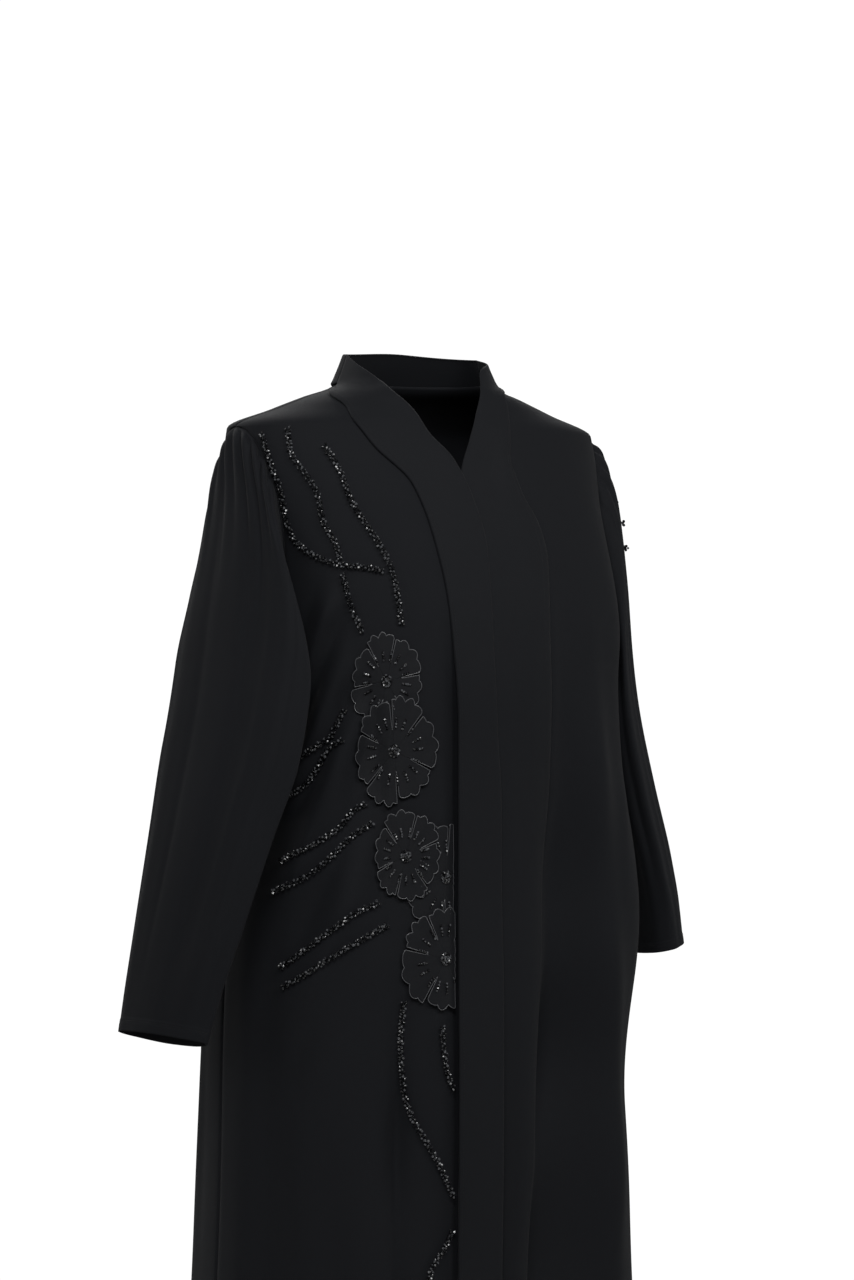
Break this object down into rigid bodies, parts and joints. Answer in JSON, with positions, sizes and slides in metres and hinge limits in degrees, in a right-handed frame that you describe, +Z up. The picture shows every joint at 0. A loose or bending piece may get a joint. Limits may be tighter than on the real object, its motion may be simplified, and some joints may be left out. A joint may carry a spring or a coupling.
{
  "type": "open-front abaya cloak",
  "caption": "Long black open-front abaya cloak, hanging as worn, with a front band, gathered long sleeves, beaded strands and appliqué flowers.",
  "frame": {"origin": "on the level where the body meets the neck band, over the middle of the shoulders, where the wearer carries it", "axes": "+Z up along the hanging cloak, -Y to the wearer's front, +X to the wearer's left"},
  "size_m": [0.6289, 0.3797, 1.4327],
  "materials": {
    "crepe": "matt crepe",
    "band_crepe": "matt crepe, doubled",
    "satin": "satin",
    "beads": "gloss"
  },
  "bodies": {
    "root": {"back": "crepe", "band_left": "band_crepe", "band_neck": "band_crepe", "band_right": "band_crepe", "flower_1": "satin", "flower_2": "satin", "flower_3": "satin", "flower_4": "satin", "flower_5": "satin", "front_left": "crepe", "front_right": "crepe", "sleeve_left": "crepe", "sleeve_right": "crepe", "strand_hip_1": "beads", "strand_hip_2": "beads", "strand_middle_foot": "beads", "strand_shoulder_inner": "beads", "strand_shoulder_middle": "beads", "strand_shoulder_outer": "beads", "strand_sleeve_1": "beads", "strand_sleeve_2": "beads", "strand_sleeve_3": "beads", "strand_sleeve_4": "beads", "strand_sleeve_5": "beads", "strand_thigh_1": "beads", "strand_thigh_2": "beads", "strand_trail": "beads", "strand_trail_foot": "beads", "strand_trail_inner": "beads", "strand_waist_1": "beads", "strand_waist_2": "beads"}
  },
  "joints": []
}
